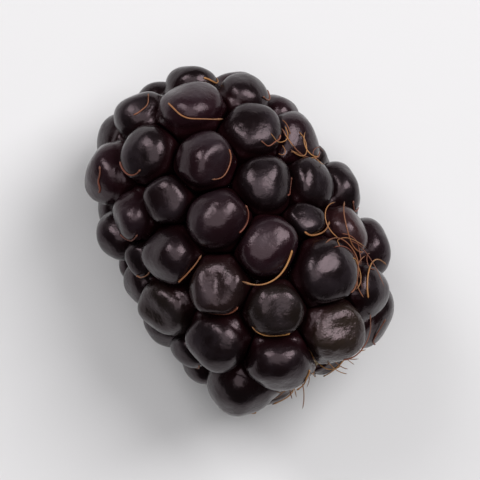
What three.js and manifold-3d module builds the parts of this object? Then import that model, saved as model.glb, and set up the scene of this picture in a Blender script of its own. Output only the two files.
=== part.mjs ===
// A ripe bramble berry, picked off its calyx and lying on its side. Millimetres, +Z up, the floor at z = 0.
// Its black drupelets are fused round the core they grow from. At the stem end they leave a shallow
// cup, in which the pale end of the receptacle shows.
import * as THREE from "three";
import { mergeVertices } from "three/addons/utils/BufferGeometryUtils.js";
import Module from "manifold-3d";

const wasm = await Module();
wasm.setup();

// The fruit's form, in its own frame: +Y from the stem end to the tip. The drupelets' middles lie on
// an egg with these half measures, squarer than an ellipsoid and a little slimmer towards the tip.
const HALF_LENGTH = 11.5;
const HALF_WIDTH = 7.5;
const SQUARENESS = 2.85;
const TAPER = 0.05;

// The drupelets: how many, their usual half width, and how much they differ.
const DRUPELETS = 64;
const DRUPELET_RADIUS = 2.65;
const TALLNESS = 1.04; // height outwards against half width
const VARIATION = 0.14;
const TIP_SHRINK = 0.1;
const DWARF_SHARE = 0.07;
const DWARF_SIZE = 0.72;

// Growth: each drupelet starts a golden angle on from the last, astray by up to STRAY of the fruit's
// radius, and is then pushed clear of the others and of the stem end in small steps.
const SEED = 3110;
const GOLDEN_ANGLE = Math.PI * (3 - Math.sqrt(5));
const SHORT_OF_STEM = 0.06;
const STRAY = 0.11;
const STEPS = 120;
const STIFFNESS = 0.25;
const STEM_STIFFNESS = 0.5;
const STEM_CLEARANCE = 3;

// The core fills the fruit up to this far below the drupelets' middles.
const CORE_DEPTH = 0.2;

// The end of the receptacle, with the scar where the stem's core tore off, and the cup it sits in.
const RECEPTACLE_RADIUS = 2.4;
const RECEPTACLE_FACE = 11.6; // from the fruit's middle to the crown
const RECEPTACLE_LENGTH = 4;
const RECEPTACLE_TAPER = 0.9; // its root's radius against its rim's
const CROWN_ROUNDING = 0.6;
const SCAR_RADIUS = 1;
const SCAR_DEPTH = 0.5;
const GAP = 0.3;

// How the fruit lies: rolled about its own length, a little flatter than wide, with its tip turned
// from +Y towards -X and dipped. Its weight presses the lowest drupelets, RESTING of them by PRESS
// or more, to flat spots.
const ROLL = THREE.MathUtils.degToRad(121);
const FLATNESS = 0.95;
const PITCH = THREE.MathUtils.degToRad(3.5);
const HEADING = THREE.MathUtils.degToRad(31);
const RESTING = 4;
const PRESS = 0.2;

// How finely the round forms are faceted.
const BALL_DETAIL = 2;
const ROUND_SEGMENTS = 24;
const CORE_RINGS = 16;
const ROUNDING_STEPS = 3;

// A row of numbers between 0 and 1 from one seed: each is the last times 16807, modulo 2^31 - 1.
function draws(seed, count) {
  const modulus = 2147483647;
  const row = [];
  let last = seed;
  for (let i = 0; i < count; i += 1) {
    last = (last * 16807) % modulus;
    row.push(last / modulus);
  }
  return row;
}

// How far from the fruit's middle the egg lies in the direction of a unit vector.
function reach(direction) {
  const girth = HALF_WIDTH * (1 - TAPER * direction.y);
  const along = Math.abs(direction.y) / HALF_LENGTH;
  const across = Math.hypot(direction.x, direction.z) / girth;
  return (along ** SQUARENESS + across ** SQUARENESS) ** (-1 / SQUARENESS);
}

function onEgg(point) {
  const direction = point.clone().normalize();
  return direction.multiplyScalar(reach(direction));
}

// The push on one middle from another that is nearer than it should be.
function away(middle, other, distance) {
  const apart = middle.clone().sub(other);
  const length = apart.length();
  return apart.multiplyScalar(Math.max(distance - length, 0) / length);
}

// The drupelets' middles and half widths, in the fruit's own frame.
function grow() {
  const random = draws(SEED, 4 * DRUPELETS);
  const middles = [];
  const radii = [];
  for (let i = 0; i < DRUPELETS; i += 1) {
    const [strayX, strayY, strayZ, share] = random.slice(4 * i, 4 * i + 4);
    const along = 1 - ((i + 0.5) * (2 - SHORT_OF_STEM)) / DRUPELETS;
    const ring = Math.sqrt(1 - along ** 2);
    const turn = i * GOLDEN_ANGLE;
    const start = new THREE.Vector3(ring * Math.cos(turn), along, ring * Math.sin(turn));
    const stray = new THREE.Vector3(strayX, strayY, strayZ).subScalar(0.5).multiplyScalar(2 * STRAY);
    middles.push(onEgg(start.add(stray)));
    const usual = (1 + VARIATION * (2 * share - 1)) * (1 - TIP_SHRINK * Math.max(along, 0) ** 2);
    radii.push(DRUPELET_RADIUS * (share < DWARF_SHARE ? DWARF_SIZE : usual));
  }
  const stem = onEgg(new THREE.Vector3(0, -1, 0));
  for (let step = 0; step < STEPS; step += 1) {
    const moves = middles.map((middle, i) => {
      const move = new THREE.Vector3();
      middles.forEach((other, j) => {
        if (j !== i) {
          move.add(away(middle, other, radii[i] + radii[j]));
        }
      });
      const fromStem = away(middle, stem, radii[i] + STEM_CLEARANCE);
      return move.multiplyScalar(STIFFNESS).addScaledVector(fromStem, STEM_STIFFNESS);
    });
    middles.forEach((middle, i) => middle.copy(onEgg(middle.clone().add(moves[i]))));
  }
  return middles.map((middle, i) => ({ middle, radius: radii[i] }));
}

// A drupelet points straight out of the ellipsoid that has the egg's half measures.
function outward(middle) {
  const halves = new THREE.Vector3(HALF_WIDTH, HALF_LENGTH, HALF_WIDTH);
  return middle.clone().divide(halves).divide(halves).normalize();
}

// Half of a drupelet's size along an axis.
function extent(drupelet, axis) {
  const share = drupelet.outward[axis] ** 2;
  return drupelet.radius * Math.sqrt(1 - share + share * TALLNESS ** 2);
}

// The fruit's own frame turned as it lies, before it is set down.
function lyingTurn() {
  const roll = new THREE.Matrix4().makeRotationY(ROLL);
  const flatten = new THREE.Matrix4().makeScale(1, 1, FLATNESS);
  const pitch = new THREE.Matrix4().makeRotationX(-PITCH);
  const heading = new THREE.Matrix4().makeRotationZ(HEADING);
  return heading.multiply(pitch).multiply(flatten).multiply(roll);
}

// The move that centres the fruit over the origin and lets it down until RESTING drupelets are pressed.
function setDown(drupelets) {
  const shift = new THREE.Vector3();
  for (const axis of ["x", "y"]) {
    const lows = drupelets.map((one) => one.middle[axis] - extent(one, axis));
    const highs = drupelets.map((one) => one.middle[axis] + extent(one, axis));
    shift[axis] = -(Math.min(...lows) + Math.max(...highs)) / 2;
  }
  const bottoms = drupelets.map((one) => one.middle.z - extent(one, "z")).sort((a, b) => a - b);
  shift.z = -(bottoms[RESTING - 1] + PRESS);
  return shift;
}

function solid(geometry) {
  const bare = geometry.clone();
  bare.deleteAttribute("normal");
  bare.deleteAttribute("uv");
  const merged = mergeVertices(bare, 1e-4);
  const vertProperties = merged.attributes.position.array;
  const triVerts = new Uint32Array(merged.index.array);
  return new wasm.Manifold(new wasm.Mesh({ numProp: 3, vertProperties, triVerts }));
}

function namedMesh(name, body, material) {
  const { vertProperties, triVerts } = body.getMesh();
  const geometry = new THREE.BufferGeometry();
  geometry.setAttribute("position", new THREE.BufferAttribute(vertProperties, 3));
  geometry.setIndex(new THREE.BufferAttribute(triVerts, 1));
  geometry.computeVertexNormals();
  const mesh = new THREE.Mesh(geometry, material);
  mesh.name = name;
  return mesh;
}

// One drupelet: a ball drawn out a little along the way it points.
function drupeletSolid(drupelet) {
  const { middle, radius } = drupelet;
  const ball = new THREE.IcosahedronGeometry(radius, BALL_DETAIL).scale(1, TALLNESS, 1);
  const up = new THREE.Vector3(0, 1, 0);
  ball.applyQuaternion(new THREE.Quaternion().setFromUnitVectors(up, drupelet.outward));
  return solid(ball.translate(middle.x, middle.y, middle.z));
}

// The core: the egg, smaller by the core's depth.
function coreSolid(lying) {
  const egg = new THREE.SphereGeometry(1, ROUND_SEGMENTS, CORE_RINGS);
  const points = egg.attributes.position;
  for (let i = 0; i < points.count; i += 1) {
    const direction = new THREE.Vector3().fromBufferAttribute(points, i).normalize();
    const point = direction.clone().multiplyScalar(reach(direction) - CORE_DEPTH);
    points.setXYZ(i, point.x, point.y, point.z);
  }
  return solid(egg.applyMatrix4(lying));
}

// A turned form on the fruit's axis at the stem end, from pairs of radius and distance out.
function turnedSolid(profile, lying) {
  const points = profile.map(([radius, out]) => new THREE.Vector2(radius, -out));
  return solid(new THREE.LatheGeometry(points, ROUND_SEGMENTS).applyMatrix4(lying));
}

function receptacleSolid(lying) {
  const root = RECEPTACLE_FACE - RECEPTACLE_LENGTH;
  const profile = [
    [0, RECEPTACLE_FACE - SCAR_DEPTH],
    [SCAR_RADIUS / 2, RECEPTACLE_FACE - 0.8 * SCAR_DEPTH],
    [SCAR_RADIUS, RECEPTACLE_FACE],
  ];
  for (let i = 0; i <= ROUNDING_STEPS; i += 1) {
    const angle = ((Math.PI / 2) * i) / ROUNDING_STEPS;
    const inset = CROWN_ROUNDING * (1 - Math.sin(angle));
    const drop = CROWN_ROUNDING * (1 - Math.cos(angle));
    profile.push([RECEPTACLE_RADIUS - inset, RECEPTACLE_FACE - drop]);
  }
  profile.push([RECEPTACLE_TAPER * RECEPTACLE_RADIUS, root], [0, root]);
  return turnedSolid(profile, lying);
}

function cupSolid(lying) {
  const root = RECEPTACLE_FACE - RECEPTACLE_LENGTH - GAP;
  const mouth = HALF_LENGTH + DRUPELET_RADIUS;
  const profile = [
    [0, mouth],
    [RECEPTACLE_RADIUS + GAP, mouth],
    [RECEPTACLE_RADIUS + GAP, RECEPTACLE_FACE - CROWN_ROUNDING],
    [RECEPTACLE_TAPER * RECEPTACLE_RADIUS + GAP, root],
    [0, root],
  ];
  return turnedSolid(profile, lying);
}

// What lies below the floor, deeper and wider than the fruit.
function belowFloorSolid() {
  const side = 4 * HALF_LENGTH;
  return solid(new THREE.BoxGeometry(side, side, side).translate(0, 0, -side / 2));
}

const turn = lyingTurn();
const drupelets = grow().map(({ middle, radius }) => ({
  radius,
  outward: outward(middle).transformDirection(turn),
  middle: middle.clone().applyMatrix4(turn),
}));
const shift = setDown(drupelets);
drupelets.forEach((one) => one.middle.add(shift));
const lying = new THREE.Matrix4().makeTranslation(shift).multiply(turn);

const fruit = drupelets
  .map(drupeletSolid)
  .reduce((joined, one) => joined.add(one), coreSolid(lying))
  .subtract(cupSolid(lying))
  .subtract(belowFloorSolid());

const skin = new THREE.MeshStandardMaterial({ color: 0x1f1419, roughness: 0.35, metalness: 0 });
const pith = new THREE.MeshStandardMaterial({ color: 0xd9cba4, roughness: 0.8, metalness: 0 });

const berry = new THREE.Group();
berry.add(namedMesh("drupelets", fruit, skin));
berry.add(namedMesh("receptacle", receptacleSolid(lying), pith));

export default berry;
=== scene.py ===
import bpy
import numpy as np
from mathutils import Matrix, Vector


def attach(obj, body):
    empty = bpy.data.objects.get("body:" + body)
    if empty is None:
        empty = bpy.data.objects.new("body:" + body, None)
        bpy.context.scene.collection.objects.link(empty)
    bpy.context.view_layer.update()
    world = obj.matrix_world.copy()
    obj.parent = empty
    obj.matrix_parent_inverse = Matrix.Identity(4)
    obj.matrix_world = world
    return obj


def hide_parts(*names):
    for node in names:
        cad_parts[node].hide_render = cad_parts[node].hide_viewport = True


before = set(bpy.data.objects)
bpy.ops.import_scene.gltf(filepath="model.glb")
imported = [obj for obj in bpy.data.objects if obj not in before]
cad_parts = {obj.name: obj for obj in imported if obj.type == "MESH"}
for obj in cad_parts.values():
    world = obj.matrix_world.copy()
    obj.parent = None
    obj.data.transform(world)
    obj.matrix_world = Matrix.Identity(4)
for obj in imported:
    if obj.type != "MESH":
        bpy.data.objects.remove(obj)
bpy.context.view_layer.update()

# ---------------------------------------------------------------------------------------------------
# Drupelets. Each is a small one-seeded fruit: a thin, taut skin over juice, almost black when it is
# ripe. They grow packed round the core, so they press one another flat where they meet, and are rooted
# in it. They are placed by the same rule, and from the same sizes, as the solids they stand for.
# ---------------------------------------------------------------------------------------------------

HALF_LENGTH = 0.0115
HALF_WIDTH = 0.0075
SQUARENESS = 2.85
TAPER = 0.05

DRUPELETS = 64
DRUPELET_RADIUS = 0.00265
TALLNESS = 1.04
VARIATION = 0.14
TIP_SHRINK = 0.1
DWARF_SHARE = 0.07
DWARF_SIZE = 0.72

SEED = 3110
GOLDEN_ANGLE = np.pi * (3 - np.sqrt(5))
SHORT_OF_STEM = 0.06
STRAY = 0.11
STEPS = 120
STIFFNESS = 0.25
STEM_STIFFNESS = 0.5
STEM_CLEARANCE = 0.003
TOO_SHORT = 1e-12  # a shorter length is taken as this, so that none of nought is divided by

ROLL = np.radians(121)
FLATNESS = 0.95
PITCH = np.radians(3.5)
HEADING = np.radians(31)
RESTING = 4  # drupelets that bear on the floor
PRESS = 0.0002  # how deep the highest of them is pressed flat

CUP_RADIUS = 0.0027
CREASE_GAP = 0.0001  # between two drupelets that touch
TAUTNESS = 6.3  # the higher, the tighter the skin turns into a crease
PACKING = (0.15, -0.3)  # from the first to the second height, as shares of the dome's, the roots close up
TIGHTENING = 4  # how much tighter the skin is pressed at the roots
ROOT_FILL = 0.2  # and how much wider than a ball a drupelet is there, where there is room
CORE_DEPTH = 0.0028  # below the drupelets' middles

DENTS = 3  # shallow flats that a drupelet got from what it lay against
DENT_LEAN = np.radians((12, 62))
DENT_REACH = (0.87, 1.02)

# Some drupelets have lost juice, so that the skin has sunk in at their last dent: the ones nearest to these
# points, and a share of the rest.
SLACK_SPOTS = np.array([[0.0062, -0.0081, 0.0120], [0.0014, -0.0076, 0.0165], [-0.0016, -0.0051, 0.0185]])
SLACK_SHARE = 0.08
SLACKNESS = 0.96  # its dents' reach, against a taut one's
FOLD_LEAN = np.radians((8, 26))
FOLD_DEPTH = (0.17, 0.25)
FOLD_WIDTH = 0.34
FOLD_STRETCH = 0.72  # how far it is drawn out one way: 0 leaves it round

LUMPS = 0.006
LUMP_WAVES = 9
LUMP_LENGTH = (0.0013, 0.0034)

DOME_RINGS = 26
DOME_ANGLE = np.radians(116)
ROOT_RINGS = 5
SIDES = 40


def draws(seed, count):
    """A row of numbers between 0 and 1: the seed, multiplied by 16807 again and again, modulo 2^31 - 1, and
    each time over that modulus."""
    factor = 16807
    modulus = 2**31 - 1
    row = np.empty(count)
    last = seed
    for i in range(count):
        last = last * factor % modulus
        row[i] = last / modulus
    return row


def length(vectors):
    """The vectors' lengths, on a last axis of one."""
    return np.linalg.norm(vectors, axis=-1, keepdims=True)


def unit(vectors):
    """The vectors over their lengths."""
    return vectors / length(vectors)


def polar(lean, around):
    """Unit vectors that lean off +Z by a and stand b round it: (sin a cos b, sin a sin b, cos a)."""
    return np.stack([np.sin(lean) * np.cos(around), np.sin(lean) * np.sin(around), np.cos(lean)], axis=-1)


def reach(direction):
    """How far out the egg lies: (|y / half length|^n + (hypot(x, z) / girth)^n)^(-1 / n)."""
    girth = HALF_WIDTH * (1 - TAPER * direction[..., 1:2])
    along = np.abs(direction[..., 1:2]) / HALF_LENGTH
    across = np.hypot(direction[..., 0:1], direction[..., 2:3]) / girth
    return (along**SQUARENESS + across**SQUARENESS) ** (-1 / SQUARENESS)


def on_egg(points):
    """The points moved along their own directions on to the egg."""
    direction = unit(points)
    return direction * reach(direction)


def away(apart, distance):
    """The push along each vector that is shorter than a distance: what it lacks of it."""
    lengths = np.maximum(length(apart), TOO_SHORT)
    return apart * np.maximum(distance - lengths, 0) / lengths


def grow():
    """The drupelets' middles in the fruit's own frame, +Y to the tip, and their half widths. Each starts a
    golden angle on from the last and a little astray. Then all push one another and the stem end off."""
    random = draws(SEED, 4 * DRUPELETS).reshape(DRUPELETS, 4)
    number = np.arange(DRUPELETS)
    along = 1 - (number + 0.5) * (2 - SHORT_OF_STEM) / DRUPELETS
    ring = np.sqrt(1 - along**2)
    turns = number * GOLDEN_ANGLE
    start = np.stack([ring * np.cos(turns), along, ring * np.sin(turns)], axis=-1)
    spots = on_egg(start + 2 * STRAY * (random[:, :3] - 0.5))
    share = random[:, 3]
    usual = (1 + VARIATION * (2 * share - 1)) * (1 - TIP_SHRINK * np.maximum(along, 0) ** 2)
    halves = DRUPELET_RADIUS * np.where(share < DWARF_SHARE, DWARF_SIZE, usual)
    stem = on_egg(np.array([0.0, -1.0, 0.0]))
    near = (halves[:, None] + halves[None])[..., None]
    for _ in range(STEPS):
        pushes = away(spots[:, None] - spots[None], near).sum(axis=1)
        off_stem = away(spots - stem, halves[:, None] + STEM_CLEARANCE)
        spots = on_egg(spots + STIFFNESS * pushes + STEM_STIFFNESS * off_stem)
    return spots, halves


# How the fruit lies: rolled, flattened, dipped, turned to its heading, and then set down.
own_middles, radii = grow()
turn = np.array(
    Matrix.Rotation(HEADING, 3, "Z")
    @ Matrix.Rotation(-PITCH, 3, "X")
    @ Matrix.Diagonal((1, 1, FLATNESS))
    @ Matrix.Rotation(ROLL, 3, "Y")
)
egg_halves = np.array([HALF_WIDTH, HALF_LENGTH, HALF_WIDTH])
outward = unit((own_middles / egg_halves**2) @ turn.T)
middles = own_middles @ turn.T
extents = radii[:, None] * np.sqrt(1 + outward**2 * (TALLNESS**2 - 1))
lows = middles - extents
highs = middles + extents
centre = -(lows.min(axis=0) + highs.max(axis=0)) / 2
centre[2] = -(np.sort(lows[:, 2])[RESTING - 1] + PRESS)
middles = middles + centre
to_tip = unit(turn @ np.array([0.0, 1.0, 0.0]))

# Each drupelet's own axes: sideways, towards the tip along the fruit, and outward.
tipward = unit(to_tip - (outward @ to_tip)[:, None] * outward)
axes = np.stack([np.cross(tipward, outward), tipward, outward], axis=1)

# What flattens a drupelet, as planes at a distance from its middle: its neighbours, the cup at the
# stem end, and its dents.
chance = np.random.default_rng(SEED)
apart = middles[None] - middles[:, None]
spacing = length(apart)
spacing[np.arange(DRUPELETS), np.arange(DRUPELETS)] = np.inf
lead = (radii[:, None] ** 2 - radii[None] ** 2)[..., None] / (2 * spacing)
neighbour_normals = apart / spacing
neighbour_heights = (spacing / 2 + lead - CREASE_GAP / 2)[..., 0]

to_axis = centre + ((middles - centre) @ to_tip)[:, None] * to_tip - middles
cup_normals = unit(to_axis)[:, None]
cup_heights = np.where(own_middles[:, 1:2] < 0, length(to_axis) - CUP_RADIUS, np.inf)

slack = chance.random(DRUPELETS) < SLACK_SHARE
slack[np.argmin(length(middles[:, None] - SLACK_SPOTS)[..., 0], axis=0)] = True
dent_leans = chance.uniform(*DENT_LEAN, (DRUPELETS, DENTS))
dent_leans[:, -1] = np.where(slack, chance.uniform(*FOLD_LEAN, DRUPELETS), dent_leans[:, -1])
dent_turns = chance.uniform(0, 2 * np.pi, (DRUPELETS, DENTS))
dent_normals = polar(dent_leans, dent_turns) @ axes
dent_reaches = chance.uniform(*DENT_REACH, (DRUPELETS, DENTS)) * np.where(slack, SLACKNESS, 1)[:, None]
dent_heights = radii[:, None] * dent_reaches
fold_depths = np.where(slack, chance.uniform(*FOLD_DEPTH, DRUPELETS), 0)
fold_ways = unit(np.cross(dent_normals[:, 0], dent_normals[:, -1]))

wall_normals = np.concatenate([neighbour_normals, cup_normals, dent_normals], axis=1)
wall_heights = np.concatenate([neighbour_heights, cup_heights, dent_heights], axis=1)

lump_ways = unit(chance.normal(size=(3, LUMP_WAVES)).T).T
lump_waves = lump_ways * 2 * np.pi / chance.uniform(*LUMP_LENGTH, LUMP_WAVES)
lump_starts = chance.uniform(0, 2 * np.pi, LUMP_WAVES)


def skin_distance(directions):
    """How far the skin lies from a drupelet's middle, along unit directions d by drupelet, ..., xyz. It is
    b (1 + the sum over the walls of (b max(d.n, 0) / h)^p)^(-1 / p), with b the distance to the drawn-out
    ball and n and h a wall's normal and distance. The power p grows and the ball widens down in the crease.
    A slack skin sinks in a fold: a bell round its last wall's normal, drawn out along the fold. A sum of
    sines of the place makes all of it uneven."""
    rows = directions.reshape(DRUPELETS, -1, 3)
    upright = np.einsum("npk,nk->np", rows, outward)
    packed = np.interp(-upright, np.negative(PACKING), (0, 1))
    power = TAUTNESS * (1 + TIGHTENING * packed)
    ball = (1 + ROOT_FILL * packed) * radii[:, None] / np.sqrt(1 + upright**2 * (1 / TALLNESS**2 - 1))
    facing = np.maximum(np.einsum("npk,nwk->npw", rows, wall_normals), 0)
    pressed = ((ball[..., None] * facing / wall_heights[:, None]) ** power[..., None]).sum(axis=-1)
    smooth = ball * (1 + pressed) ** (-1 / power)
    drawn_out = FOLD_STRETCH / 2 * np.einsum("npk,nk->np", rows, fold_ways) ** 2
    sunk = fold_depths[:, None] * np.exp((facing[..., -1] - 1 + drawn_out) / FOLD_WIDTH**2)
    places = middles[:, None] + rows * smooth[..., None]
    lumps = np.sin(places @ lump_waves + lump_starts).sum(axis=-1)
    return (smooth * (1 - sunk + LUMPS * lumps)).reshape(directions.shape[:-1] + (1,))


def by_vertex(grid):
    """Values by shell, ring, side and part, as a row for each vertex: a shell's two poles, then its rings."""
    count, _, _, parts = grid.shape
    between = grid[:, 1:-1].reshape(count, -1, parts)
    return np.concatenate([grid[:, [0, -1], 0], between], axis=1).reshape(-1, parts)


def shells(name, points, material, **marks):
    """An object of closed shells, from points by shell, ring, side and xyz, whose first and last rings are
    poles: quads join the rings, and a fan of triangles closes each pole. Marks are numbers by shell, ring
    and side, and become attributes."""
    count, rings, sides, _ = points.shape
    ring = 2 + np.arange((rings - 2) * sides).reshape(rings - 2, sides)
    after = np.roll(ring, -1, axis=1)
    quads = np.stack([ring[:-1], ring[1:], after[1:], after[:-1]], axis=-1).reshape(-1, 4)
    first = np.stack([np.zeros(sides, int), ring[0], after[0]], axis=-1)
    last = np.stack([np.ones(sides, int), after[-1], ring[-1]], axis=-1)
    fans = np.concatenate([first, last])
    offsets = (np.arange(count) * (2 + ring.size))[:, None, None]
    faces = (quads + offsets).reshape(-1, 4).tolist() + (fans + offsets).reshape(-1, 3).tolist()
    mesh = bpy.data.meshes.new(name)
    mesh.from_pydata(by_vertex(points), [], faces)
    for label, values in marks.items():
        spread = np.broadcast_to(values, points.shape[:3])[..., None]
        attribute = mesh.attributes.new(label, "FLOAT", "POINT")
        attribute.data.foreach_set("value", by_vertex(spread).ravel().astype(np.float32))
    mesh.shade_smooth()
    mesh.materials.append(material)
    made = bpy.data.objects.new(name, mesh)
    bpy.context.scene.collection.objects.link(made)
    return made


def add(tree, kind, inputs, **settings):
    """A node of that kind in a material. An input that is given a socket is linked to it."""
    node = tree.nodes.new("ShaderNode" + kind)
    for setting, value in settings.items():
        setattr(node, setting, value)
    for key, value in inputs.items():
        if isinstance(value, bpy.types.NodeSocket):
            tree.links.new(value, node.inputs[key])
        else:
            node.inputs[key].default_value = value
    return node


def places_in(tree):
    """The place on the object, in metres."""
    return add(tree, "TexCoord", {}).outputs["Object"]


def mark(tree, name):
    """A number kept on the mesh under that name."""
    return add(tree, "Attribute", {}, attribute_name=name).outputs["Fac"]


def noise(tree, places, grain, detail):
    """Smooth noise from 0 to 1 whose patches are about grain metres across. Each step of detail adds finer
    patches, half as large."""
    return add(tree, "TexNoise", {"Vector": places, "Scale": 1 / grain, "Detail": detail}).outputs["Fac"]


def mapped(tree, value, ends, results):
    """A value between two ends as one between two results, held past them."""
    limits = {"From Min": ends[0], "From Max": ends[1], "To Min": results[0], "To Max": results[1]}
    return add(tree, "MapRange", {"Value": value, **limits}).outputs["Result"]


def mixed(tree, share, first, second):
    """A colour that is first where share is 0 and second where it is 1."""
    return add(tree, "Mix", {0: share, 6: first, 7: second}, data_type="RGBA").outputs[2]


def times(tree, first, second):
    """Two values multiplied."""
    return add(tree, "Math", {0: first, 1: second}, operation="MULTIPLY").outputs[0]


def bump(tree, height, distance, below=None):
    """A relief of that height times distance, in metres, on the one below it."""
    inputs = {"Height": height, "Distance": distance, "Strength": 1.0}
    if below is not None:
        inputs["Normal"] = below
    return add(tree, "Bump", inputs).outputs["Normal"]


def finish(tree, colour, roughness, normal):
    """The material's shader, with its colour, roughness and relief linked."""
    shader = tree.nodes["Principled BSDF"]
    for socket, value in {"Base Color": colour, "Roughness": roughness, "Normal": normal}.items():
        tree.links.new(value, shader.inputs[socket])
    return shader


RIPE = (0.0046, 0.0026, 0.0030, 1)
PURPLE = (0.014, 0.0046, 0.0070, 1)
PURPLE_CHANCES = (0.35, 1)  # a drupelet's random number, from ripe to wholly purple
DUSKY = (0.060, 0.022, 0.018, 1)
DUSKINESS = 0.25
DUSKY_SPOT = np.array([0.0078, -0.0011, 0.0140])  # the drupelet nearest to it is less ripe
FADED = (0.060, 0.049, 0.029, 1)
FADING = 0.2
SLACK_WITHERING = 0.35  # as a share of the most withered one's, which is nearest to the first slack spot
# A painted glow: dark red low on each drupelet, towards the crease, as of light passing through the thin
# skin.
THIN_SKIN_GLOW = (0.0085, 0.0015, 0.0022, 1)
THIN_SKIN_GLOW_HEIGHTS = (0.55, 0.1)  # on a drupelet, as shares of the dome's, from none of the painted glow to the most
THIN_SKIN_GLOW_SHARE = 0.85
# A wax bloom in patches, mixed in most on the dome tops: partly real bloom, partly a painted highlight.
BLOOM_AND_PAINTED_HIGHLIGHT = (0.026, 0.020, 0.025, 1)
BLOOM_AND_HIGHLIGHT_HEIGHTS = (0.3, 0.9)  # the same for the bloom, which is lightest on the dome tops as partly a painted highlight
BLOOM_AND_HIGHLIGHT_SHARE = 0.5

BLOOM_PATCH = 0.0021
BLOOM_DETAIL = 3
BLOOM_NOISE = (0.42, 0.72)  # the patches' noise, from no bloom to the most
MOTTLE = 0.00085
MOTTLE_DETAIL = 4
MOTTLE_RELIEF = 0.00008
WITHERED_MOTTLING = 2.2  # times the relief of a taut skin
GRAIN = 0.00013
GRAIN_RELIEF = 0.000004

GLOSS_NOISE = (0.3, 0.75)  # the same noise, from the first to the second roughness
SKIN_ROUGHNESS = (0.2, 0.34)
SKIN_IOR = 1.4
SHEEN_TINT = (1, 0.74, 0.82, 1)
WAX = 0.06
WAX_ROUGHNESS = 0.14


def skin_material():
    """Black skin, purple on some drupelets, dusky on an unripe one and faded on withered ones, dark red where
    it turns into a crease as a painted glow of light through the thin skin, and a thin bloom in patches,
    lightest on the dome tops as partly a painted highlight. Its relief is a slight unevenness, stronger where
    it is withered, and a fine grain of cells."""
    material = bpy.data.materials.new("drupelet_skin")
    material.use_nodes = True
    tree = material.node_tree
    places = places_in(tree)
    patches = noise(tree, places, BLOOM_PATCH, BLOOM_DETAIL)
    mottle = noise(tree, places, MOTTLE, MOTTLE_DETAIL)
    cells = add(tree, "TexVoronoi", {"Vector": places, "Scale": 1 / GRAIN}).outputs["Distance"]
    height = mark(tree, "height")
    withered = mark(tree, "withered")

    colour = mixed(tree, mapped(tree, mark(tree, "unripe"), PURPLE_CHANCES, (0, 1)), RIPE, PURPLE)
    colour = mixed(tree, mark(tree, "dusky"), colour, DUSKY)
    colour = mixed(tree, mapped(tree, withered, (0, 1), (0, FADING)), colour, FADED)
    # Dark red towards the crease: a painted glow of light passing through the thin skin there.
    colour = mixed(tree, mapped(tree, height, THIN_SKIN_GLOW_HEIGHTS, (0, THIN_SKIN_GLOW_SHARE)), colour, THIN_SKIN_GLOW)
    # Bloom in patches, lightest towards the dome tops: partly real wax bloom, partly a painted highlight.
    in_patches = mapped(tree, patches, BLOOM_NOISE, (0, BLOOM_AND_HIGHLIGHT_SHARE))
    bloom_and_painted_highlight = times(tree, in_patches, mapped(tree, height, BLOOM_AND_HIGHLIGHT_HEIGHTS, (0, 1)))
    colour = mixed(tree, bloom_and_painted_highlight, colour, BLOOM_AND_PAINTED_HIGHLIGHT)

    roughness = mapped(tree, patches, GLOSS_NOISE, SKIN_ROUGHNESS)
    unevenness = times(tree, mottle, mapped(tree, withered, (0, 1), (1, WITHERED_MOTTLING)))
    relief = bump(tree, cells, GRAIN_RELIEF, below=bump(tree, unevenness, MOTTLE_RELIEF))
    shader = finish(tree, colour, roughness, relief)
    shader.inputs["IOR"].default_value = SKIN_IOR
    shader.inputs["Specular Tint"].default_value = SHEEN_TINT
    shader.inputs["Coat Weight"].default_value = WAX
    shader.inputs["Coat Roughness"].default_value = WAX_ROUGHNESS
    return material


ring_angles = np.concatenate(
    [np.linspace(0, DOME_ANGLE, DOME_RINGS), np.linspace(DOME_ANGLE, np.pi, ROOT_RINGS)[1:]]
)
side_turns = np.linspace(0, 2 * np.pi, SIDES, endpoint=False)
ways = polar(*np.meshgrid(ring_angles, side_turns, indexing="ij"))
skin_ways = np.einsum("rsk,nkj->nrsj", ways, axes)
skin = middles[:, None, None] + skin_ways * skin_distance(skin_ways)
core_ways = ways[..., [1, 2, 0]]
core = centre + (core_ways * (reach(core_ways) - CORE_DEPTH)) @ turn.T
surface = np.concatenate([skin, core[None]])
surface[..., 2] = np.maximum(surface[..., 2], 0)

# The core counts as one more drupelet, of no height.
heights = np.zeros(surface.shape[:3])
heights[:-1] = np.cos(ring_angles)[:, None]
unripe = chance.random((DRUPELETS + 1, 1, 1))
dusky = np.zeros((DRUPELETS + 1, 1, 1))
dusky[np.argmin(length(middles - DUSKY_SPOT))] = DUSKINESS
withered = np.append(np.where(slack, SLACK_WITHERING, 0), 0)[:, None, None]
withered[np.argmin(length(middles - SLACK_SPOTS[0]))] = 1
drupelets = shells(
    "drupelet_skins",
    surface,
    skin_material(),
    height=heights,
    unripe=unripe,
    dusky=dusky,
    withered=withered,
)
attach(drupelets, "root")
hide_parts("drupelets")

# ---------------------------------------------------------------------------------------------------
# Receptacle: the pale, pithy end of the stem that the drupelets grew on. The stem tore out of its middle
# when the berry was picked and left a ragged scar, with the ends of the sap vessels in a ring round it.
# Juice has stained its rim.
# ---------------------------------------------------------------------------------------------------

RECEPTACLE_RADIUS = 0.0024
RECEPTACLE_FACE = 0.0116
RECEPTACLE_LENGTH = 0.004
RECEPTACLE_TAPER = 0.9
CROWN_ROUNDING = 0.0006
CROWN_FLATNESS = 9  # the power of its fall towards the rim
SCAR_RADIUS = 0.001
SCAR_DEPTH = 0.0005
SCAR_EDGE = 4  # the higher, the steeper

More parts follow.
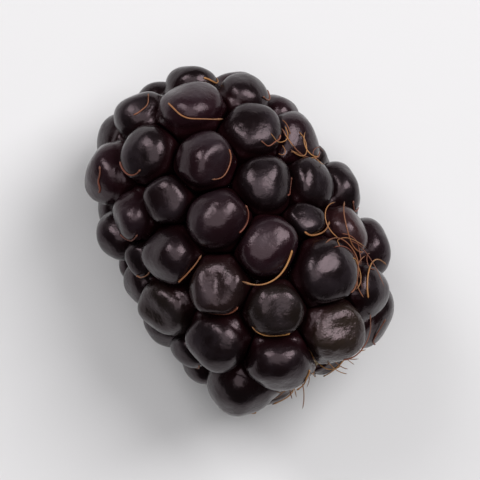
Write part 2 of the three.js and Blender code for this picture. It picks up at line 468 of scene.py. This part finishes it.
CROWN_RINGS = 44
RING_SPREAD = 0.85  # under 1: the rings lie closer towards the rim
WALL_RINGS = 14
RECEPTACLE_SIDES = 112
RIM_WAVES = ((3, 0.018), (5, 0.02), (8, 0.014), (13, 0.008))  # waves round the rim, and shares of its radius
FIBRE_WAVES = ((13, 0.00003), (21, 0.000025), (34, 0.00002))
WAVE_GROWTH = 2  # the power by which both grow from the middle to the rim
TEARS = 14
TEAR_LENGTH = (0.0004, 0.0013)
TEAR_DEPTH = 0.000022
TEAR_FADE = 6  # the power by which they fade to nothing at the rim
TEAR_RAGGEDNESS = 4  # how far the tears move the scar's edge, as a multiple of their depth
VESSELS = 11
VESSEL_RING = 0.00155
VESSEL_SIZE = 0.00016

PITH = (0.62, 0.51, 0.30, 1)
SCAR = (0.27, 0.17, 0.065, 1)
VESSEL = (0.30, 0.23, 0.07, 1)
STAIN = (0.23, 0.032, 0.055, 1)
STAIN_PATCH = 0.0008
STAIN_DETAIL = 3
STAIN_NOISE = (0.3, 0.6)
STAIN_SHARE = (0.25, 1)
STAIN_GROWTH = 5  # the power by which it grows to the rim
SPONGE = 0.00022
SPONGE_DETAIL = 4
SPONGE_NOISE = (0.35, 0.7)
SPONGE_BROWN = 0.35
SPONGE_RELIEF = 0.00005
DAMP_NOISE = (0.3, 0.7)  # the stain's noise, from dry to damp
PITH_ROUGHNESS = (0.75, 0.45)
PITH_GLOW = 0.15
PITH_GLOW_TINT = (1, 0.6, 0.35)
PITH_GLOW_DEPTH = 0.0004


def waves_round(angles, waves):
    """The sum over the waves of height times sin(count times angle, plus count squared)."""
    return sum(height * np.sin(count * angles + count**2) for count, height in waves)


def pith_material():
    """Cream pith, brown in the scar and at the vessels, stained dark rose from the rim in patches, with a
    spongy grain."""
    material = bpy.data.materials.new("receptacle_pith")
    material.use_nodes = True
    tree = material.node_tree
    places = places_in(tree)
    patches = noise(tree, places, STAIN_PATCH, STAIN_DETAIL)
    sponge = noise(tree, places, SPONGE, SPONGE_DETAIL)
    stained = times(tree, mark(tree, "rim"), mapped(tree, patches, STAIN_NOISE, STAIN_SHARE))
    colour = mixed(tree, mapped(tree, sponge, SPONGE_NOISE, (0, SPONGE_BROWN)), PITH, SCAR)
    colour = mixed(tree, mark(tree, "scar"), colour, SCAR)
    colour = mixed(tree, mark(tree, "vessel"), colour, VESSEL)
    colour = mixed(tree, stained, colour, STAIN)
    roughness = mapped(tree, patches, DAMP_NOISE, PITH_ROUGHNESS)
    shader = finish(tree, colour, roughness, bump(tree, sponge, SPONGE_RELIEF))
    shader.inputs["Subsurface Weight"].default_value = PITH_GLOW
    shader.inputs["Subsurface Radius"].default_value = PITH_GLOW_TINT
    shader.inputs["Subsurface Scale"].default_value = PITH_GLOW_DEPTH
    return material


# The profile from the crown's middle over the rim and down the wall to the root, as shares of the radius
# and depths below the crown's face. A sum of sines of the place makes the crown uneven, and waves rib its
# rim.
crown_shares = np.linspace(0, 1, CROWN_RINGS) ** RING_SPREAD
wall_steps = np.linspace(0, 1, WALL_RINGS)[1:]
shares = np.concatenate([crown_shares, 1 - (1 - RECEPTACLE_TAPER) * wall_steps, [0]])[:, None]
wall_depths = CROWN_ROUNDING + (RECEPTACLE_LENGTH - CROWN_ROUNDING) * wall_steps
crown_depths = CROWN_ROUNDING * crown_shares**CROWN_FLATNESS
depths = np.concatenate([crown_depths, wall_depths, [RECEPTACLE_LENGTH]])[:, None]
on_crown = (np.arange(len(shares)) < CROWN_RINGS)[:, None]

rim_turns = np.linspace(0, 2 * np.pi, RECEPTACLE_SIDES, endpoint=False)[None]
from_axis = shares * RECEPTACLE_RADIUS * (1 + waves_round(rim_turns, RIM_WAVES) * shares**WAVE_GROWTH)
across_face = np.stack([from_axis * np.cos(rim_turns), from_axis * np.sin(rim_turns)], axis=-1)
tear_waves = unit(chance.normal(size=(TEARS, 2))).T * 2 * np.pi / chance.uniform(*TEAR_LENGTH, TEARS)
torn = TEAR_DEPTH * np.sin(across_face @ tear_waves + chance.uniform(0, 2 * np.pi, TEARS)).sum(axis=-1)
scar_depths = np.exp(-(((from_axis + TEAR_RAGGEDNESS * torn) / SCAR_RADIUS) ** SCAR_EDGE)) * on_crown
fibres = waves_round(rim_turns, FIBRE_WAVES) * shares**WAVE_GROWTH
unevenness = (torn * (1 - shares**TEAR_FADE) + fibres) * on_crown
out = RECEPTACLE_FACE - depths - SCAR_DEPTH * scar_depths + unevenness
own_points = np.stack([across_face[..., 0], -out, across_face[..., 1]], axis=-1)

vessel_turns = (rim_turns * VESSELS / (2 * np.pi) + 0.5) % 1 - 0.5
vessel_offsets = np.hypot(from_axis - VESSEL_RING, vessel_turns * 2 * np.pi / VESSELS * VESSEL_RING)
receptacle = shells(
    "receptacle_end",
    (centre + own_points @ turn.T)[None],
    pith_material(),
    scar=scar_depths,
    vessel=np.exp(-((vessel_offsets / VESSEL_SIZE) ** 2)) * on_crown,
    rim=np.where(on_crown, shares**STAIN_GROWTH, 1),
)
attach(receptacle, "root")
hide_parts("receptacle")

# ---------------------------------------------------------------------------------------------------
# Styles: each drupelet's flower left it a thin dry thread with a blunt end. Most lie curled round the
# side of their own drupelet that faces the stem, in the crease. Some stand off it in a loose curl, and
# where two tangles have formed on the flank, they lean over to them.
# ---------------------------------------------------------------------------------------------------

STYLE_POINTS = 32
STYLE_SIDES = 7
STYLE_RADIUS = (0.00006, 0.000095)
STYLE_TAPER = 0.45  # lost towards its end
STIGMA_SWELLING = 0.5
STIGMA_PLACE = 0.94
STIGMA_LENGTH = 0.035
ROOT_CLOSING = 0.03  # the shares of a style in which it closes to its poles
END_CLOSING = 0.05
STYLE_AGE = (0.1, 1.1)
LOST_SHARE = 0.12
FREE_SHARE = 0.35

# For a style that lies in the crease, one that stands free, and one that leans over to a tangle:
IN_CREASE, FREE, TANGLED = range(3)
STYLE_LEAN = np.radians([(46, 62), (30, 58), (44, 66)])
STYLE_SWEEP = np.radians([(45, 100), (50, 130), (90, 210)])
STYLE_LIFT = np.array([(0.00008, 0.00022), (0.0004, 0.0014), (0.0003, 0.0009)])
STYLE_OPENING = np.radians([3, 29, 3])  # what its end leans on outwards
LIFT_GROWTH = 1.6  # the powers by which the lift and the opening grow to the end
OPENING_GROWTH = 2
STYLE_TURN = np.radians((-160, -20))  # its middle's way round the drupelet: -90 is straight to the stem
STYLE_BOW = np.radians((-7, 14))
KINK = np.radians((0.3, 2.5))
KINKS = (1, 2)

TANGLE_SPOTS = np.array([[0.0078, -0.0011, 0.0152], [0.0050, 0.0076, 0.0145]])
TANGLE_REACH = 0.0044
TANGLE_SWAY = np.radians(35)

ASKEW = (0.36, 0.48, 0.8)  # a way that no thread starts along
THREAD_GAP = 0.00003
SETTLING_STEPS = 6
CLEAR_OF_FLOOR = 0.0002

STRAW = (0.42, 0.20, 0.055, 1)
RUST = (0.145, 0.036, 0.021, 1)
DRY_END = (0.085, 0.035, 0.018, 1)
DRYING = 3  # the power by which a thread darkens to its end
DRY_SHARE = (0.3, 1)
STREAK = 0.0002
STREAK_DETAIL = 2
STREAK_NOISE = (0.3, 0.7)
STREAK_RELIEF = 0.00001
THREAD_ROUGHNESS = (0.5, 0.7)


def threads(paths, thicknesses, sides):
    """Closed round threads, by thread, point and side: circles square to the paths, each turned as little as
    can be from the one before it."""
    ahead = unit(np.gradient(paths, axis=1))
    across = np.cross(ahead[:, 0], ASKEW)
    turned = []
    for k in range(paths.shape[1]):
        along = (across * ahead[:, k]).sum(axis=-1, keepdims=True)
        across = unit(across - along * ahead[:, k])
        turned.append(across)
    across = np.stack(turned, axis=1)
    beside = np.cross(across, ahead)
    angles = np.linspace(0, 2 * np.pi, sides, endpoint=False)[:, None]
    circles = np.cos(angles) * across[:, :, None] + np.sin(angles) * beside[:, :, None]
    return paths[:, :, None] + thicknesses[..., None, None] * circles


def settled(paths):
    """Paths by thread, point and xyz, laid off the skins: again and again each point is evened out between
    the points beside it and moved straight out of the drupelet it is deepest in, to a gap off its skin."""
    for _ in range(SETTLING_STEPS):
        paths = paths.copy()
        paths[:, 1:-1] = (paths[:, :-2] + 2 * paths[:, 1:-1] + paths[:, 2:]) / 4
        from_middles = paths.reshape(-1, 3) - middles[:, None]
        lacks = skin_distance(unit(from_middles)) + THREAD_GAP - length(from_middles)
        pushes = unit(from_middles) * np.maximum(lacks, 0)
        deepest = np.take_along_axis(pushes, np.argmax(lacks, axis=0)[None], axis=0)
        paths = paths + deepest.reshape(paths.shape)
    return paths


def thread_material(name):
    """Dry plant thread: straw to rust by the age of the thread, dark towards its end, with faint streaks."""
    material = bpy.data.materials.new(name)
    material.use_nodes = True
    tree = material.node_tree
    streaks = noise(tree, places_in(tree), STREAK, STREAK_DETAIL)
    dried = times(tree, mark(tree, "along"), mapped(tree, streaks, STREAK_NOISE, DRY_SHARE))
    colour = mixed(tree, mark(tree, "age"), STRAW, RUST)
    colour = mixed(tree, dried, colour, DRY_END)
    roughness = mapped(tree, streaks, STREAK_NOISE, THREAD_ROUGHNESS)
    finish(tree, colour, roughness, bump(tree, streaks, STREAK_RELIEF))
    return material


steps = np.linspace(0, 1, STYLE_POINTS)
each = (DRUPELETS, 1)
to_tangles = TANGLE_SPOTS - middles[:, None]
nearest = np.argmin(length(to_tangles), axis=1)[..., None]
to_tangle = np.take_along_axis(to_tangles, nearest, axis=1)[:, 0]
tangled = length(to_tangle) < TANGLE_REACH
free = chance.random(each) < FREE_SHARE
kind = np.where(tangled, TANGLED, np.where(free, FREE, IN_CREASE))


def by_kind(ranges):
    """For each style a number drawn from the range of its kind."""
    return chance.uniform(ranges[kind, 0], ranges[kind, 1])


in_axes = np.einsum("nij,nj->ni", axes, to_tangle)
tangle_turns = np.arctan2(in_axes[:, 1:2], in_axes[:, :1]) + chance.uniform(-TANGLE_SWAY, TANGLE_SWAY, each)
middle_turns = np.where(tangled, tangle_turns, chance.uniform(*STYLE_TURN, each))
style_turns = middle_turns + by_kind(STYLE_SWEEP) * chance.choice([-1, 1], each) * (steps - 0.5)
bows = chance.uniform(*STYLE_BOW, each) * np.sin(np.pi * steps)
kink_turns = 2 * np.pi * (chance.uniform(*KINKS, each) * steps + chance.random(each))
kinks = chance.uniform(*KINK, each) * np.sin(kink_turns)
style_leans = by_kind(STYLE_LEAN) + bows + kinks + STYLE_OPENING[kind] * steps**OPENING_GROWTH
style_ways = polar(style_leans, style_turns) @ axes
style_lifts = by_kind(STYLE_LIFT) * steps**LIFT_GROWTH
style_paths = settled(middles[:, None] + style_ways * (skin_distance(style_ways) + style_lifts[..., None]))

stigma = STIGMA_SWELLING * np.exp(-(((steps - STIGMA_PLACE) / STIGMA_LENGTH) ** 2))
swelling = 1 - STYLE_TAPER * steps + stigma
closing = np.sqrt(np.clip(steps / ROOT_CLOSING, 0, 1) * np.clip((1 - steps) / END_CLOSING, 0, 1))
style_thicknesses = chance.uniform(*STYLE_RADIUS, each) * swelling * closing
kept = (chance.random(DRUPELETS) > LOST_SHARE) & (style_paths[..., 2].min(axis=1) > CLEAR_OF_FLOOR)
styles = shells(
    "styles",
    threads(style_paths, style_thicknesses, STYLE_SIDES)[kept],
    thread_material("dry_style"),
    age=chance.uniform(*STYLE_AGE, (DRUPELETS, 1, 1))[kept],
    along=steps[:, None] ** DRYING,
)
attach(styles, "root")

# ---------------------------------------------------------------------------------------------------
# Stamens: fine dry stalks of the flower, without their heads. Some stayed on when the berry came off its
# calyx, rooted round the receptacle and bent out over the drupelets. Others broke off and are caught in
# the two tangles of styles.
# ---------------------------------------------------------------------------------------------------

ROOTED = 34
STAMEN_POINTS = 20
STAMEN_SIDES = 5
STAMEN_RADIUS = (0.00003, 0.000045)
STAMEN_LENGTH = (0.0018, 0.0043)
STAMEN_BEND = (0.8, 2.9)  # radians, from root to tip
BEND_GROWTH = 1.5  # the power by which a stalk bends more towards its tip
STAMEN_TWIST = 1.4
STAMEN_ROOT = 0.0102
ROOT_GAP = 0.0001  # off the receptacle's rim
ROOT_STRAY = 0.4  # either way, of the spacing round the rim
TIP_CLOSING = 0.08
STAMEN_AGE = (0, 0.7)

CAUGHT = 8  # in each tangle
CAUGHT_SPREAD = 0.0015
CAUGHT_LENGTH = (0.002, 0.0046)
CAUGHT_CURL = (1.0, 4.2)  # radians, from end to end
CAUGHT_HEIGHT = (0.0014, 0.0022)  # over the egg on which the drupelets' middles lie
CAUGHT_RISE = (-0.0002, 0.0012)
RISE_GROWTH = 3  # the power by which it rises to its end
CAUGHT_AGE = (0.2, 1)

# The rooted ones grow step by step from the receptacle's edge, bending outwards and to one side.
ages = np.linspace(0, 1, STAMEN_POINTS)
stalks = (ROOTED, 1)
root_strays = chance.uniform(-ROOT_STRAY, ROOT_STRAY, stalks)
root_turns = (np.arange(ROOTED)[:, None] + root_strays) * 2 * np.pi / ROOTED
bends = chance.uniform(*STAMEN_BEND, stalks) * ages**BEND_GROWTH
twists = root_turns + chance.uniform(-STAMEN_TWIST, STAMEN_TWIST, stalks) * ages
ahead = np.stack([np.sin(bends) * np.cos(twists), -np.cos(bends), np.sin(bends) * np.sin(twists)], axis=-1)
step_lengths = chance.uniform(*STAMEN_LENGTH, stalks) / STAMEN_POINTS
roots = np.stack([np.cos(root_turns), np.zeros(stalks), np.sin(root_turns)], axis=-1)
roots = roots * (RECEPTACLE_RADIUS + ROOT_GAP) - [0, STAMEN_ROOT, 0]
rooted_paths = centre + (roots + np.cumsum(ahead * step_lengths[..., None], axis=1)) @ turn.T

# The caught ones are arcs about the spot of a tangle, on a shell a little above the drupelets' middles.
curls = (len(TANGLE_SPOTS) * CAUGHT, 1)
spots = np.repeat((TANGLE_SPOTS - centre) @ np.linalg.inv(turn.T), CAUGHT, axis=0)
starts = spots + chance.normal(scale=CAUGHT_SPREAD, size=spots.shape)
first_way = unit(np.cross(starts, chance.normal(size=starts.shape)))
second_way = unit(np.cross(starts, first_way))
curl_sizes = chance.uniform(*CAUGHT_CURL, curls)
curl_radii = (chance.uniform(*CAUGHT_LENGTH, curls) / curl_sizes)[..., None]
curl_angles = (curl_sizes * (ages - 0.5))[..., None]
arcs = np.sin(curl_angles) * first_way[:, None] + (np.cos(curl_angles) - 1) * second_way[:, None]
near_shell = starts[:, None] + curl_radii * arcs
start_heights = chance.uniform(*CAUGHT_HEIGHT, curls)
shell_heights = start_heights + chance.uniform(*CAUGHT_RISE, curls) * ages**RISE_GROWTH
curled_paths = on_egg(near_shell) + shell_heights[..., None] * unit(near_shell)
caught_paths = centre + curled_paths @ turn.T

stamen_paths = settled(np.concatenate([rooted_paths, caught_paths]))
stamen_ages = np.concatenate([chance.uniform(*STAMEN_AGE, ROOTED), chance.uniform(*CAUGHT_AGE, len(spots))])
tips = np.sqrt(np.clip((1 - ages) / TIP_CLOSING, 0, 1)) * (ages > 0)
stamen_thicknesses = chance.uniform(*STAMEN_RADIUS, (len(stamen_paths), 1)) * tips
upheld = stamen_paths[..., 2].min(axis=1) > CLEAR_OF_FLOOR
stamens = shells(
    "stamens",
    threads(stamen_paths, stamen_thicknesses, STAMEN_SIDES)[upheld],
    thread_material("dry_stamen"),
    age=stamen_ages[upheld, None, None],
    along=ages[:, None] ** DRYING,
)
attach(stamens, "root")

# ---------------------------------------------------------------------------------------------------
# The floor, the light and the camera: a pale, matt table top on which the berry lies loose, under three
# soft boxes in a dim room, seen from almost overhead.
# ---------------------------------------------------------------------------------------------------

FLOOR_HALF = 1.5
FLOOR_COLOUR = (0.66, 0.65, 0.66, 1)
FLOOR_ROUGHNESS = 0.7
ROOM_LIGHT = 0.04
AIM = Vector((0, 0, 0.01))
VIEW_FROM = Vector((-0.036, -0.020, 0.450))
LENS = 440
NEAREST = 0.05  # what the camera still sees
# Each soft box's place, width, height and power:
SOFT_BOXES = {
    "left_soft_box": ((-0.30, 0.30, 0.42), 0.20, 0.30, 1.5),
    "right_soft_box": ((0.28, 0.22, 0.46), 0.30, 0.40, 3.0),
    "ceiling": ((-0.05, 0.0, 0.62), 0.56, 0.52, 1.6),
}

mesh = bpy.data.meshes.new("floor")
corners = np.array([(-1, -1, 0), (1, -1, 0), (1, 1, 0), (-1, 1, 0)]) * FLOOR_HALF
mesh.from_pydata(corners.tolist(), [], [(0, 1, 2, 3)])
floor = bpy.data.objects.new("floor", mesh)
bpy.context.scene.collection.objects.link(floor)
paint = bpy.data.materials.new("floor_paint")
paint.use_nodes = True
paint.node_tree.nodes["Principled BSDF"].inputs["Base Color"].default_value = FLOOR_COLOUR
paint.node_tree.nodes["Principled BSDF"].inputs["Roughness"].default_value = FLOOR_ROUGHNESS
mesh.materials.append(paint)


def soft_box(name, place, width, height, power):
    """A rectangular area light at a place, turned to the berry."""
    lamp = bpy.data.lights.new(name, "AREA")
    lamp.shape = "RECTANGLE"
    lamp.size = width
    lamp.size_y = height
    lamp.energy = power
    light = bpy.data.objects.new(name, lamp)
    light.location = place
    light.rotation_euler = (AIM - Vector(place)).to_track_quat("-Z", "Y").to_euler()
    bpy.context.scene.collection.objects.link(light)


for name, (place, width, height, power) in SOFT_BOXES.items():
    soft_box(name, place, width, height, power)

world = bpy.data.worlds.new("studio")
world.use_nodes = True
world.node_tree.nodes["Background"].inputs["Color"].default_value = (1, 1, 1, 1)
world.node_tree.nodes["Background"].inputs["Strength"].default_value = ROOM_LIGHT
bpy.context.scene.world = world
bpy.context.scene.view_settings.view_transform = "Standard"

camera_data = bpy.data.cameras.new("camera")
camera_data.lens = LENS
camera_data.clip_start = NEAREST
camera = bpy.data.objects.new("camera", camera_data)
camera.location = AIM + VIEW_FROM
back = VIEW_FROM.normalized()
right = Vector((0, 1, 0)).cross(back).normalized()
camera.rotation_euler = Matrix((right, back.cross(right), back)).transposed().to_euler()
bpy.context.scene.collection.objects.link(camera)
bpy.context.scene.camera = camera
